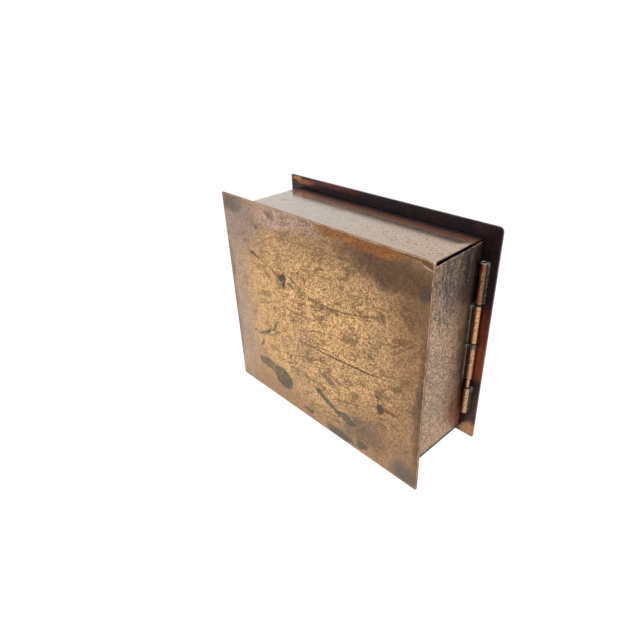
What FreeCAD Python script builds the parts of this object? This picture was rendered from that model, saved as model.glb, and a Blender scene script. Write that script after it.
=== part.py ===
"""Wall-mounted copper letter box: a shallow box that swings off its wall plate on a tube hinge.

Frame, in millimetres: the origin is the centre of the wall plate's back face, which lies on the wall.
+Z is up, +X is to the right of someone who faces the box, and -Y points away from the wall.
The wall plate stays on the wall. The box is a band of sheet, bent round three corners and soldered
to a larger front plate. It swings about the hinge pin, which stands upright beside its right wall.
"""

import FreeCAD, Part
import os

Vector = FreeCAD.Vector
RIGHT = Vector(1, 0, 0)
BACKWARDS = Vector(0, 1, 0)
UP = Vector(0, 0, 1)
OUT = "parts"

# Front plate
FRONT_WIDTH = 260.0
FRONT_HEIGHT = 224.0
FRONT_SHEET = 2.0
BUMP_ALONG = 14.0  # the top right corner was knocked back into a small facet
BUMP_DOWN = 6.0
BUMP_DEPTH = 1.2

# Wall plate
BACK_NARROWER = 3.0  # than the front plate
BACK_SHORTER = 5.0
BACK_SHEET = 2.0
SNIPPED_CORNER = 0.8  # corner radii, as snipped, worn and filed
WORN_CORNER = 1.8
FILED_CORNER = 4.5

# Band that makes the four walls
BAND_SHEET = 1.5
BAND_DEPTH = 86.5
BEND_RADIUS = 1.4  # inside the three bent corners
SIDE_OVERHANG = 15.6  # front plate beyond the side walls
TOP_OVERHANG = 11.8  # front plate beyond the top wall
BOTTOM_OVERHANG = 9.0  # and beyond the bottom wall
BACK_GAP = 0.8  # between the band's back edge and the wall plate
SEAM_GAP_FRONT = 3.8  # open seam at the top right corner, where the band's ends meet
SEAM_GAP_BACK = 1.4
BOX_SHIFT_X = -2.2  # centre of the box from the centre of the wall plate
BOX_SHIFT_Z = -2.8

# Screw holes in the wall plate
SCREW_HOLE = 5.5
SCREW_SPACING_X = 160.0
SCREW_SPACING_Z = 120.0

# Hinge
KNUCKLE_OUTSIDE = 6.2
PIN_DIAMETER = 4.0
RUNNING_CLEARANCE = 0.06  # on the radius, between the pin and the box's knuckles
PLATE_CLEARANCE = 0.5  # between the knuckles and the wall plate
LEAF_SHEET = 2.8
LEAF_REACH = 5.5  # from the pin's axis to the leaf's front edge
LEAF_SETBACK = 0.3  # from the leaf's back edge to the band's
KNUCKLE_SEAT = 0.3  # depth of the groove that a box knuckle lies in
KNUCKLE_LENGTH = 39.2
LAST_KNUCKLE_LENGTH = 30.2
KNUCKLE_GAP = 0.6
PIN_WINDOW = 9.4  # length of bare pin above the last knuckle
HINGE_TOP = 78.5
PIN_RECESS = 3.2  # from the hinge's top down to the pin's top end
PEENED_END = 0.6  # how far the pin's hammered lower end stands out
ROUNDED_END = 0.7  # radius round the foot of the last knuckle

# Solder
PLATE_SOLDER_FOOT = 1.4  # how far the solder spreads on the wall plate beyond a knuckle
PLATE_SOLDER_RISE = 2.0
LEAF_SOLDER_FOOT = 2.5  # half width of the solder between a leaf and its knuckle
LEAF_SOLDER_RISE = 1.3
LEAF_SOLDER_SLOPE = 0.3
LEAF_EDGE_SOLDER = 1.0
SEAM_SOLDER = 1.8

# Levels and edges that the pieces share
back_face = -BACK_SHEET
band_back = back_face - BACK_GAP
band_front = band_back - BAND_DEPTH
front_face = band_front - FRONT_SHEET

band_half_width = FRONT_WIDTH / 2 - SIDE_OVERHANG
band_left = BOX_SHIFT_X - band_half_width
band_right = BOX_SHIFT_X + band_half_width
band_bottom = BOX_SHIFT_Z - FRONT_HEIGHT / 2 + BOTTOM_OVERHANG
band_top = BOX_SHIFT_Z + FRONT_HEIGHT / 2 - TOP_OVERHANG
inside_left = band_left + BAND_SHEET
inside_right = band_right - BAND_SHEET
inside_bottom = band_bottom + BAND_SHEET
inside_top = band_top - BAND_SHEET

knuckle_radius = KNUCKLE_OUTSIDE / 2
pin_radius = PIN_DIAMETER / 2
leaf_face = band_right + LEAF_SHEET
hinge_x = leaf_face - KNUCKLE_SEAT + knuckle_radius
hinge_y = back_face - PLATE_CLEARANCE - knuckle_radius

# The four knuckles from the top down, each as (bottom, top)
knuckle_1 = (HINGE_TOP - KNUCKLE_LENGTH, HINGE_TOP)
knuckle_2 = (knuckle_1[0] - KNUCKLE_GAP - KNUCKLE_LENGTH, knuckle_1[0] - KNUCKLE_GAP)
knuckle_3 = (knuckle_2[0] - KNUCKLE_GAP - KNUCKLE_LENGTH, knuckle_2[0] - KNUCKLE_GAP)
knuckle_4_top = knuckle_3[0] - PIN_WINDOW
knuckle_4 = (knuckle_4_top - LAST_KNUCKLE_LENGTH, knuckle_4_top)


def block(x_low, x_high, y_low, y_high, z_low, z_high):
    """A rectangular solid between two corners."""
    return Part.makeBox(x_high - x_low, y_high - y_low, z_high - z_low, Vector(x_low, y_low, z_low))


def hinge_cylinder(radius, z_low, z_high):
    """An upright round solid on the pin's axis."""
    return Part.makeCylinder(radius, z_high - z_low, Vector(hinge_x, hinge_y, z_low), UP)


def polygon_face(points):
    """A flat face inside straight edges."""
    return Part.Face(Part.makePolygon(points + points[:1]))


def rounded_sheet(x_low, x_high, z_low, z_high, y_front, thickness, radii):
    """An upright rectangular sheet that runs back from y_front.

    The corner radii go clockwise, seen from the front, from the top right; 0 leaves a corner square.
    """
    corners = [
        Vector(x_high, y_front, z_high),
        Vector(x_high, y_front, z_low),
        Vector(x_low, y_front, z_low),
        Vector(x_low, y_front, z_high),
    ]
    arriving = [RIGHT, -UP, -RIGHT, UP]
    leaving = [-UP, -RIGHT, UP, RIGHT]
    starts = [corner - way * radius for corner, way, radius in zip(corners, arriving, radii)]
    ends = [corner + way * radius for corner, way, radius in zip(corners, leaving, radii)]
    edges = []
    for index, radius in enumerate(radii):
        if radius > 0:
            centre = starts[index] + leaving[index] * radius
            outward = (arriving[index] - leaving[index]).normalize()
            edges.append(Part.Arc(starts[index], centre + outward * radius, ends[index]).toShape())
        edges.append(Part.makeLine(ends[index], starts[(index + 1) % len(starts)]))
    return Part.Face(Part.Wire(edges)).extrude(BACKWARDS * thickness)


def make_front_plate():
    """The front sheet, with the facet that a knock left on its top right corner."""
    left, right = BOX_SHIFT_X - FRONT_WIDTH / 2, BOX_SHIFT_X + FRONT_WIDTH / 2
    bottom, top = BOX_SHIFT_Z - FRONT_HEIGHT / 2, BOX_SHIFT_Z + FRONT_HEIGHT / 2
    radii = [0, WORN_CORNER, SNIPPED_CORNER, SNIPPED_CORNER]
    sheet = rounded_sheet(left, right, bottom, top, front_face, FRONT_SHEET, radii)
    corner = Vector(right, front_face, top)
    along = corner - RIGHT * BUMP_ALONG
    down = corner - UP * BUMP_DOWN
    deep = corner + BACKWARDS * BUMP_DEPTH
    sides = [[corner, along, down], [corner, down, deep], [corner, deep, along], [along, deep, down]]
    knocked_off = Part.makeSolid(Part.makeShell([polygon_face(side) for side in sides]))
    return sheet.cut(knocked_off)


def make_wall_plate():
    """The sheet on the wall, with a screw hole near each corner of the box's footprint."""
    half_width = (FRONT_WIDTH - BACK_NARROWER) / 2
    half_height = (FRONT_HEIGHT - BACK_SHORTER) / 2
    radii = [FILED_CORNER, WORN_CORNER, SNIPPED_CORNER, SNIPPED_CORNER]
    sheet = rounded_sheet(-half_width, half_width, -half_height, half_height, back_face, BACK_SHEET, radii)
    for side in (-1, 1):
        for level in (-1, 1):
            place = Vector(side * SCREW_SPACING_X / 2, back_face, level * SCREW_SPACING_Z / 2)
            sheet = sheet.cut(Part.makeCylinder(SCREW_HOLE / 2, BACK_SHEET, place, BACKWARDS))
    return sheet


def make_band():
    """The four walls, bent from one strip, whose ends leave a tapered seam at the top right corner."""
    bends = [BEND_RADIUS] * 3
    outer_bends = [BEND_RADIUS + BAND_SHEET] * 3
    outer = rounded_sheet(
        band_left, band_right, band_bottom, band_top, band_front, BAND_DEPTH, [0] + outer_bends
    )
    inner = rounded_sheet(
        inside_left, inside_right, inside_bottom, inside_top, band_front, BAND_DEPTH, [0] + bends
    )
    seam = polygon_face([
        Vector(inside_right, band_front, inside_top),
        Vector(inside_right, band_back, inside_top),
        Vector(inside_right, band_back, inside_top - SEAM_GAP_BACK),
        Vector(inside_right, band_front, inside_top - SEAM_GAP_FRONT),
    ])
    return outer.cut(inner).cut(seam.extrude(RIGHT * BAND_SHEET))


def make_knuckle(span, bore_radius):
    """One length of hinge tube."""
    return hinge_cylinder(knuckle_radius, *span).cut(hinge_cylinder(bore_radius, *span))


def make_last_knuckle():
    """The lowest tube, whose foot is rounded outside."""
    tube = hinge_cylinder(knuckle_radius, *knuckle_4)
    foot = [edge for edge in tube.Edges if edge.BoundBox.ZMax < knuckle_4[0] + ROUNDED_END]
    return tube.makeFillet(ROUNDED_END, foot).cut(hinge_cylinder(pin_radius, *knuckle_4))


def make_pin():
    """The pin, which ends below the hinge's open top and is hammered round at its lower end."""
    pin = hinge_cylinder(pin_radius, knuckle_4[0] - PEENED_END, HINGE_TOP - PIN_RECESS)
    foot = [edge for edge in pin.Edges if edge.BoundBox.ZMax < knuckle_4[0]]
    return pin.makeFillet(PEENED_END, foot)


def make_leaf(span):
    """The strip that holds a box knuckle off the right wall, grooved to the knuckle."""
    strip = block(band_right, leaf_face, hinge_y - LEAF_REACH, band_back - LEAF_SETBACK, *span)
    return strip.cut(hinge_cylinder(knuckle_radius, *span))


def make_plate_solder(span):
    """The bed of solder between a knuckle and the wall plate, wider at its foot."""
    foot = knuckle_radius + PLATE_SOLDER_FOOT
    bed = polygon_face([
        Vector(hinge_x - foot, back_face, span[0]),
        Vector(hinge_x + foot, back_face, span[0]),
        Vector(hinge_x + knuckle_radius, back_face - PLATE_SOLDER_RISE, span[0]),
        Vector(hinge_x - knuckle_radius, back_face - PLATE_SOLDER_RISE, span[0]),
    ])
    return bed.extrude(UP * (span[1] - span[0])).cut(hinge_cylinder(knuckle_radius, *span))


def make_leaf_solder(span):
    """Beads along both sides of a box knuckle, and one along the front edge of its leaf."""
    length = UP * (span[1] - span[0])
    ridge_x = leaf_face + LEAF_SOLDER_RISE
    ridge_reach = LEAF_SOLDER_FOOT - LEAF_SOLDER_SLOPE
    bed = polygon_face([
        Vector(leaf_face, hinge_y - LEAF_SOLDER_FOOT, span[0]),
        Vector(leaf_face, hinge_y + LEAF_SOLDER_FOOT, span[0]),
        Vector(ridge_x, hinge_y + ridge_reach, span[0]),
        Vector(ridge_x, hinge_y - ridge_reach, span[0]),
    ])
    sides = bed.extrude(length).cut(hinge_cylinder(knuckle_radius, *span))
    edge = Vector(band_right, hinge_y - LEAF_REACH, span[0])
    edge_bead = polygon_face([edge, edge + RIGHT * LEAF_EDGE_SOLDER, edge - BACKWARDS * LEAF_EDGE_SOLDER])
    return Part.makeCompound(sides.Solids + [edge_bead.extrude(length)])


def make_seam_bead(corner, way, run):
    """A three-sided bead against the front plate's back and the wall that faces the given way."""
    section = polygon_face([corner, corner + BACKWARDS * SEAM_SOLDER, corner + way * SEAM_SOLDER])
    return section.extrude(run)


def make_front_seam_solder():
    """Beads inside the box where the four walls meet the front plate."""
    width = RIGHT * (inside_right - inside_left - 2 * SEAM_SOLDER)
    height = UP * (inside_top - SEAM_GAP_FRONT - inside_bottom - 2 * SEAM_SOLDER)
    first_x = inside_left + SEAM_SOLDER
    first_z = inside_bottom + SEAM_SOLDER
    return Part.makeCompound([
        make_seam_bead(Vector(first_x, band_front, inside_bottom), UP, width),
        make_seam_bead(Vector(first_x, band_front, inside_top), -UP, width),
        make_seam_bead(Vector(inside_left, band_front, first_z), RIGHT, height),
        make_seam_bead(Vector(inside_right, band_front, first_z), -RIGHT, height),
    ])


def build_parts():
    """Every piece of the letter box, by the name of its node."""
    running_bore = pin_radius + RUNNING_CLEARANCE
    return {
        "wall_plate": make_wall_plate(),
        "plate_knuckle_top": make_knuckle(knuckle_1, pin_radius),
        "plate_knuckle_bottom": make_last_knuckle(),
        "plate_solder_top": make_plate_solder(knuckle_1),
        "plate_solder_bottom": make_plate_solder(knuckle_4),
        "hinge_pin": make_pin(),
        "front_plate": make_front_plate(),
        "box_band": make_band(),
        "front_seam_solder": make_front_seam_solder(),
        "hinge_leaf_upper": make_leaf(knuckle_2),
        "hinge_leaf_lower": make_leaf(knuckle_3),
        "box_knuckle_upper": make_knuckle(knuckle_2, running_bore),
        "box_knuckle_lower": make_knuckle(knuckle_3, running_bore),
        "leaf_solder_upper": make_leaf_solder(knuckle_2),
        "leaf_solder_lower": make_leaf_solder(knuckle_3),
    }


def main():
    """Writes each piece to its STEP file and prints its number of solids and its volume."""
    os.makedirs(OUT, exist_ok=True)
    for name, shape in build_parts().items():
        if not shape.isValid():
            raise ValueError(name + " is not a valid solid")
        shape.exportStep(os.path.join(OUT, name + ".step"))
        print(name, len(shape.Solids), round(shape.Volume, 1))


main()
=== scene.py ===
"""The looks of a wall mounted copper letter box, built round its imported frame.

Places and sizes are in metres, in the part's own frame: +Z is up, +X is to the right of someone who faces the box,
and -Y points away from the wall. Patterns inside the finishes are in millimetres, because their grain is that small.
"""

import logging
import math
from collections.abc import Callable, Iterator
from contextlib import contextmanager
from dataclasses import dataclass, replace
from enum import Enum
from typing import Any

import bmesh
import bpy
from mathutils import Matrix, Quaternion, Vector


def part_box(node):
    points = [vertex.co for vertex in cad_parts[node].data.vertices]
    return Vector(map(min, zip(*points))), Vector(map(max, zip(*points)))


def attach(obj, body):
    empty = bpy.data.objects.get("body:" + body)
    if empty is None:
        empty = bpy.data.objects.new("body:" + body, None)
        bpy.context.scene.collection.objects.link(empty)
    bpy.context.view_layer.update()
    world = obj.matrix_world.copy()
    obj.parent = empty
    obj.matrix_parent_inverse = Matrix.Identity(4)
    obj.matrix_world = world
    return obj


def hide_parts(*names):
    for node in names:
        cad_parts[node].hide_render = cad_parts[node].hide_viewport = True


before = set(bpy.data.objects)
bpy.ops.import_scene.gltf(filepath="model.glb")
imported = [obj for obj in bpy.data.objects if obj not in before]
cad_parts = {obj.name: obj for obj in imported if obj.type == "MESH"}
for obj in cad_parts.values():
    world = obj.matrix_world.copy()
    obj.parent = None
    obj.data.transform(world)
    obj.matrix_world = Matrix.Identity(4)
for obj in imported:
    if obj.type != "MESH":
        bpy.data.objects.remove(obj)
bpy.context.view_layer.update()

log = logging.getLogger("letter_box")

MM = 0.001
NEAR = 1e-6
RIGHT = Vector((1, 0, 0))
BACK = Vector((0, 1, 0))
UP = Vector((0, 0, 1))

Colour = tuple[float, float, float]
Point = tuple[float, float, float]
Value = Any


# ---------------------------------------------------------------------------------------------------------------------
# The bench: meshes shaped with the modelling tools
# ---------------------------------------------------------------------------------------------------------------------


class Pick(Enum):
    """What a selection on the bench is made of."""

    VERTICES = "VERT"
    EDGES = "EDGE"
    FACES = "FACE"


class Body(Enum):
    """The two bodies that the hinge joins."""

    WALL_SIDE = "wall_side"
    BOX = "box"


class Workpiece:
    """One mesh on the bench. It starts as a primitive and is shaped in edit mode and with modifiers."""

    def __init__(self, name: str) -> None:
        """Takes the primitive that was just added, and puts its place and size into its mesh.

        Args:
            name: The piece's name.
        """
        self.thing = bpy.context.object
        self.thing.name = name
        self.thing.data.name = name
        bpy.ops.object.transform_apply(location=True, rotation=True, scale=True)

    @staticmethod
    def clear() -> None:
        """Leaves nothing selected, so that the next tool acts on its own piece only."""
        bpy.ops.object.select_all(action="DESELECT")

    @classmethod
    def block(cls, name: str, low: Vector, high: Vector) -> "Workpiece":
        """Starts from a block between two corners.

        Args:
            name: The piece's name.
            low: Its lowest corner.
            high: Its highest corner.

        Returns:
            The workpiece.
        """
        cls.clear()
        bpy.ops.mesh.primitive_cube_add(size=1, location=(low + high) / 2)
        bpy.ops.transform.resize(value=high - low, center_override=(low + high) / 2)
        return cls(name)

    @classmethod
    def sheet(cls, name: str, low: Vector, high: Vector, cell: float) -> "Workpiece":
        """Starts from an upright grid that faces -Y, at the front of the room between two corners.

        Args:
            name: The piece's name.
            low: The lowest corner of the sheet.
            high: Its highest corner.
            cell: The rough size of one cell of the grid.

        Returns:
            The workpiece.
        """
        cls.clear()
        size = high - low
        centre = Vector(((low.x + high.x) / 2, low.y, (low.z + high.z) / 2))
        bpy.ops.mesh.primitive_grid_add(
            x_subdivisions=round(size.x / cell),
            y_subdivisions=round(size.z / cell),
            size=1,
            location=centre,
            rotation=(math.pi / 2, 0, 0),
        )
        bpy.ops.transform.resize(value=size, center_override=centre)
        return cls(name)

    @classmethod
    def rod(cls, name: str, foot: Vector, way: Vector, length: float, radius: float, sides: int) -> "Workpiece":
        """Starts from a round rod.

        Args:
            name: The piece's name.
            foot: The centre of its first end.
            way: The direction from its first end to its other end.
            length: Its length.
            radius: Its radius.
            sides: How many sides it has round its axis.

        Returns:
            The workpiece.
        """
        cls.clear()
        bpy.ops.mesh.primitive_cylinder_add(
            vertices=sides,
            radius=radius,
            depth=length,
            end_fill_type="NGON",
            location=foot + way * length / 2,
            rotation=way.to_track_quat("Z", "Y").to_euler(),
        )
        return cls(name)

    def take(self) -> None:
        """Takes this piece alone in hand for the next tool."""
        self.clear()
        self.thing.select_set(True)
        bpy.context.view_layer.objects.active = self.thing

    @contextmanager
    def editing(self) -> Iterator[None]:
        """Opens the mesh for editing, and closes it again."""
        self.take()
        bpy.ops.object.mode_set(mode="EDIT")
        try:
            yield
        finally:
            bpy.ops.object.mode_set(mode="OBJECT")

    def select(self, kind: Pick, wanted: Callable[[Vector, Vector], bool]) -> int:
        """Selects by place while the mesh is open.

        Args:
            kind: What to select.
            wanted: Says whether to take a vertex (place, normal), an edge (both ends) or a face (centre, normal).

        Returns:
            How many were selected.
        """
        bpy.ops.mesh.select_mode(type=kind.value)
        bpy.ops.mesh.select_all(action="DESELECT")
        mesh = bmesh.from_edit_mesh(self.thing.data)
        if kind is Pick.VERTICES:
            found = [v for v in mesh.verts if wanted(v.co, v.normal)]
        elif kind is Pick.EDGES:
            found = [e for e in mesh.edges if wanted(e.verts[0].co, e.verts[1].co)]
        else:
            found = [f for f in mesh.faces if wanted(f.calc_center_median(), f.normal)]
        for element in found:
            element.select_set(True)
        mesh.select_flush_mode()
        bmesh.update_edit_mesh(self.thing.data)
        return len(found)

    def modify(self, kind: str, **settings: Value) -> None:
        """Adds one modifier and applies it.

        Args:
            kind: The modifier's type.
            **settings: The modifier's settings.
        """
        self.take()
        modifier = self.thing.modifiers.new(kind.title(), kind)
        for name, value in settings.items():
            setattr(modifier, name, value)
        bpy.ops.object.modifier_apply(modifier=modifier.name)

    def ease_edges(self, width: float, segments: int, sharper_than: float = 50.0) -> None:
        """Rounds every edge that turns more than an angle.

        Args:
            width: The width of the rounding.
            segments: How many faces it has.
            sharper_than: The angle in degrees.
        """
        angle = math.radians(sharper_than)
        self.modify("BEVEL", width=width, segments=segments, limit_method="ANGLE", angle_limit=angle)

    def ripple(self, depth: float, grain: float, level: float, group: str = "") -> None:
        """Moves the surface in and out by a soft noise.

        Args:
            depth: The difference between its highest and lowest places.
            grain: The rough size of one swell.
            level: The share of the noise that counts as no movement, from 0 to 1.
            group: The vertex group that moves; all of the mesh if empty.
        """
        noise = bpy.data.textures.new(self.thing.name + "_ripple", "CLOUDS")
        noise.noise_scale = grain
        noise.noise_depth = 1
        self.modify(
            "DISPLACE", texture=noise, texture_coords="LOCAL", strength=depth, mid_level=level, vertex_group=group
        )

    def cut(self, cutter: "Workpiece") -> None:
        """Cuts another workpiece out of this one, and throws that one away.

        Args:
            cutter: The workpiece to cut with.
        """
        self.modify("BOOLEAN", operation="DIFFERENCE", solver="EXACT", object=cutter.thing)
        bpy.data.objects.remove(cutter.thing)

    def tidy(self, smooth_below: float = 32.0) -> None:
        """Closes doubles, turns the faces outwards and shades the smooth places smooth.

        Args:
            smooth_below: Edges that turn less than this angle in degrees are shaded smooth.
        """
        with self.editing():
            bpy.ops.mesh.select_all(action="SELECT")
            bpy.ops.mesh.remove_doubles(threshold=NEAR)
            bpy.ops.mesh.normals_make_consistent(inside=False)
        self.take()
        bpy.ops.object.shade_smooth_by_angle(angle=math.radians(smooth_below))

    def join(self, others: list["Workpiece"]) -> None:
        """Joins other workpieces into this one.

        Args:
            others: The workpieces to take in.
        """
        self.take()
        for other in others:
            other.thing.select_set(True)
        bpy.ops.object.join()

    def fit(self, material: bpy.types.Material, slot: str, body: Body, *nodes: str) -> None:
        """Dresses the finished mesh and puts it on its body.

        Args:
            material: Its finish.
            slot: Not used; the record's material slot that the finish stands for.
            body: The body that it rides on.
            *nodes: The nodes that it stands for.
        """
        self.thing.data.materials.clear()
        self.thing.data.materials.append(material)
        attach(self.thing, body.value)
        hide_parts(*nodes)
        log.info("%s: %d faces", self.thing.name, len(self.thing.data.polygons))


# ---------------------------------------------------------------------------------------------------------------------
# The paint box: shader sums and patterns
# ---------------------------------------------------------------------------------------------------------------------


class Amount:
    """A number that changes over a surface. Python's operators add its Math nodes."""

    def __init__(self, paint: "Paint", socket: bpy.types.NodeSocket) -> None:
        """Wraps a socket.

        Args:
            paint: The material that it belongs to.
            socket: The output that carries the number.
        """
        self.paint = paint
        self.socket = socket

    def maths(self, operation: str, *values: Value) -> "Amount":
        """Adds one Math node.

        Args:
            operation: The node's operation.
            *values: Its inputs in order.

        Returns:
            Its result.
        """
        node = self.paint.node("ShaderNodeMath", {"operation": operation}, dict(enumerate(values)))
        return Amount(self.paint, node.outputs[0])

    def __add__(self, other: Value) -> "Amount":
        """This plus other."""
        return self.maths("ADD", self, other)

    __radd__ = __add__

    def __sub__(self, other: Value) -> "Amount":
        """This minus other."""
        return self.maths("SUBTRACT", self, other)

    def __rsub__(self, other: Value) -> "Amount":
        """Other minus this."""
        return self.maths("SUBTRACT", other, self)

    def __mul__(self, other: Value) -> "Amount":
        """This times other."""
        return self.maths("MULTIPLY", self, other)

    __rmul__ = __mul__

    def __abs__(self) -> "Amount":
        """This without its sign."""
        return self.maths("ABSOLUTE", self)

    def times_plus(self, factor: Value, term: Value) -> "Amount":
        """This times factor, plus term."""
        return self.maths("MULTIPLY_ADD", self, factor, term)

    def either(self, other: Value) -> "Amount":
        """The larger of this and other."""
        return self.maths("MAXIMUM", self, other)

    def least(self, other: Value) -> "Amount":
        """The smaller of this and other."""
        return self.maths("MINIMUM", self, other)

    def fade(self, start: float, end: float, low: float = 0.0, high: float = 1.0) -> "Amount":
        """Goes smoothly from one number to another as this goes from start to end.

        Args:
            start: Where this is when the fade begins.
            end: Where this is when the fade is over; it may be less than start.
            low: The result at the start.
            high: The result at the end.

        Returns:
            The faded amount.
        """
        node = self.paint.node(
            "ShaderNodeMapRange",
            {"interpolation_type": "SMOOTHSTEP"},
            {0: self, 1: start, 2: end, 3: low, 4: high},
        )
        return Amount(self.paint, node.outputs[0])


@dataclass(frozen=True)
class Mark:
    """An oval stain, zone or scratch on a sheet, in millimetres from the sheet's centre.

    across and up are its middle, length runs along its tilt in degrees, and bow bends its ends up by that much.
    core is the share of its reach that has its full strength.
    """

    across: float
    up: float
    length: float
    width: float
    tilt: float = 0.0
    bow: float = 0.0
    core: float = 0.6
    strength: float = 1.0


@dataclass(frozen=True)
class Swells:
    """Soft noise. size is the rough size of one swell, detail how many finer layers it has, rough how strong they are.

    shift moves the pattern, so that two of one size differ.
    """

    size: float
    detail: float = 2.0
    rough: float = 0.5
    shift: float = 0.0


@dataclass(frozen=True)
class Pits:
    """Small round spots. spacing is the rough distance between them, size the largest one's radius as a share of it."""

    spacing: float
    size: float
    shift: float = 0.0


@dataclass(frozen=True)
class Hairs:
    """Fine scratches that run about one way, which is tilt in degrees up from across.

    length is the rough length over which one bends, spacing the rough distance between them, and width their width
    as a share of it.
    """

    tilt: float
    length: float
    spacing: float
    width: float
    shift: float


Spot = tuple[Amount, Amount]


class Paint:
    """A material's nodes, with the patterns that the finishes share."""

    def __init__(self, name: str, centre: Vector) -> None:
        """Starts a material.

        Args:
            name: The material's name.
            centre: The point that its patterns are measured from.
        """
        self.material = bpy.data.materials.new(name)
        self.material.use_nodes = True
        self.tree = self.material.node_tree
        self.shader = self.tree.nodes["Principled BSDF"]
        coordinates = self.node("ShaderNodeTexCoord").outputs["Object"]
        self.place = self.moved(coordinates, 1 / MM, tuple(-centre / MM))
        split = self.node("ShaderNodeSeparateXYZ", {}, {0: self.place})
        self.x, self.y, self.z = (Amount(self, output) for output in split.outputs)

    def node(self, kind: str, settings: dict[str, Value] | None = None, sockets: dict[Any, Value] | None = None) -> Any:
        """Adds a node.

        Args:
            kind: The node's type.
            settings: Its own settings, which are set first.
            sockets: Values or links for its inputs, by name or by number.

        Returns:
            The node.
        """
        made = self.tree.nodes.new(kind)
        for name, value in (settings or {}).items():
            setattr(made, name, value)
        for key, value in (sockets or {}).items():
            self.plug(made.inputs[key], value)
        return made

    def plug(self, target: bpy.types.NodeSocket, value: Value) -> None:
        """Links or sets one input.

        Args:
            target: The input.
            value: An Amount or socket to link, or a number, colour or vector to set.
        """
        if isinstance(value, Amount):
            value = value.socket
        if isinstance(value, bpy.types.NodeSocket):
            self.tree.links.new(value, target)
        elif target.type == "RGBA":
            target.default_value = (*value[:3], 1.0)
        else:
            target.default_value = value

    def blend(self, share: Value, first: Value, second: Value) -> bpy.types.NodeSocket:
        """Mixes two colours.

        Args:
            share: How much of the second shows, from 0 to 1.
            first: The first colour.
            second: The second colour.

        Returns:
            The mixed colour.
        """
        node = self.node("ShaderNodeMix", {"data_type": "RGBA"}, {0: share, 6: first, 7: second})
        return node.outputs[2]

    def shade(self, colour: Value, factor: Amount) -> bpy.types.NodeSocket:
        """A colour made lighter or darker by a factor."""
        node = self.node("ShaderNodeVectorMath", {"operation": "SCALE"}, {0: colour, "Scale": factor})
        return node.outputs[0]

    def flat(self, across: Amount, up: Amount) -> bpy.types.NodeSocket:
        """The two coordinates that lie in a sheet's face, as one vector."""
        return self.node("ShaderNodeCombineXYZ", {}, {0: across, 1: up, 2: 0.0}).outputs[0]

    def shake(self, at: bpy.types.NodeSocket, reach: float, grain: float) -> bpy.types.NodeSocket:
        """Coordinates pushed about by noise, so that a mark has a ragged outline.

        Args:
            at: The coordinates.
            reach: How far a point moves at the most.
            grain: The rough size of one push.

        Returns:
            The moved coordinates.
        """
        noise = self.node("ShaderNodeTexNoise", {}, {"Vector": at, "Scale": 1 / grain, "Detail": 3.0})
        centred = self.node("ShaderNodeVectorMath", {"operation": "SUBTRACT"}, {0: noise.outputs[1], 1: (0.5,) * 3})
        pushed = self.node(
            "ShaderNodeVectorMath",
            {"operation": "MULTIPLY_ADD"},
            {0: centred.outputs[0], 1: (4 * reach,) * 3, 2: at},
        )
        return pushed.outputs[0]

    def moved(self, at: Value, scale: float, shift: tuple[float, float, float]) -> bpy.types.NodeSocket:
        """Coordinates moved and scaled, for a pattern to be laid on."""
        settings = {"Vector": at, "Location": shift, "Scale": (scale,) * 3}
        return self.node("ShaderNodeMapping", {}, settings).outputs[0]

    def cloud(self, swells: Swells) -> Amount:
        """Soft noise from 0 to 1 about a middle of 0.5.

        Args:
            swells: The noise's sizes.

        Returns:
            The noise.
        """
        shift = swells.shift
        at = self.moved(self.place, 1 / swells.size, (shift, 0.7 * shift, -shift))
        settings = {"Vector": at, "Scale": 1.0, "Detail": swells.detail, "Roughness": swells.rough}
        return Amount(self, self.node("ShaderNodeTexNoise", {}, settings).outputs[0])

    def spots(self, pits: Pits) -> Amount:
        """Small round spots of many sizes.

        Args:
            pits: The spots' sizes.

        Returns:
            A mask that is 1 inside them and 0 outside.
        """
        ragged = self.shake(self.place, pits.spacing * pits.size * 0.35, pits.spacing * pits.size)
        at = self.moved(ragged, 1 / pits.spacing, (pits.shift, -pits.shift, 0.4 * pits.shift))
        cells = self.node("ShaderNodeTexVoronoi", {}, {"Vector": at, "Scale": 1.0})
        return Amount(self, cells.outputs["Distance"]).fade(pits.size, 0.55 * pits.size)

    def hair(self, at: Value, *group: Hairs) -> Amount:
        """Fine scratches, 1 on a scratch and 0 beside it.

        Args:
            at: The coordinates in the sheet's face.
            *group: The sets of scratches that lie over each other.

        Returns:
            The mask.
        """
        mask = None
        for hairs in group:
            sockets = {
                "Vector": at,
                "Location": (hairs.shift, hairs.shift, 0.0),
                "Rotation": (0.0, 0.0, math.radians(hairs.tilt)),
                "Scale": (hairs.length, hairs.spacing, 1.0),
            }
            turned = self.node("ShaderNodeMapping", {"vector_type": "TEXTURE"}, sockets).outputs[0]
            noise = self.node("ShaderNodeTexNoise", {}, {"Vector": turned, "Scale": 1.0, "Detail": 1.0})
            single = abs(Amount(self, noise.outputs[0]) - 0.5).fade(hairs.width, 0.3 * hairs.width)
            mask = mask.either(single) if mask else single
        return mask

    def split(self, at: bpy.types.NodeSocket) -> Spot:
        """The first two coordinates of a vector, as numbers."""
        node = self.node("ShaderNodeSeparateXYZ", {}, {0: at})
        return Amount(self, node.outputs[0]), Amount(self, node.outputs[1])

    @staticmethod
    def mark(at: Spot, mark: Mark) -> Amount:
        """One oval mark, its strength inside and 0 outside.

        Args:
            at: The coordinates in the sheet's face.
            mark: Its place, size and strength.

        Returns:
            The mask.
        """
        across, up = at
        cos, sin = math.cos(math.radians(mark.tilt)), math.sin(math.radians(mark.tilt))

        def measure(share_across: float, share_up: float) -> Amount:
            """The distance from the mark's middle along one of its axes."""
            start = -(share_across * mark.across + share_up * mark.up)
            return across.times_plus(share_across, up.times_plus(share_up, start))

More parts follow.
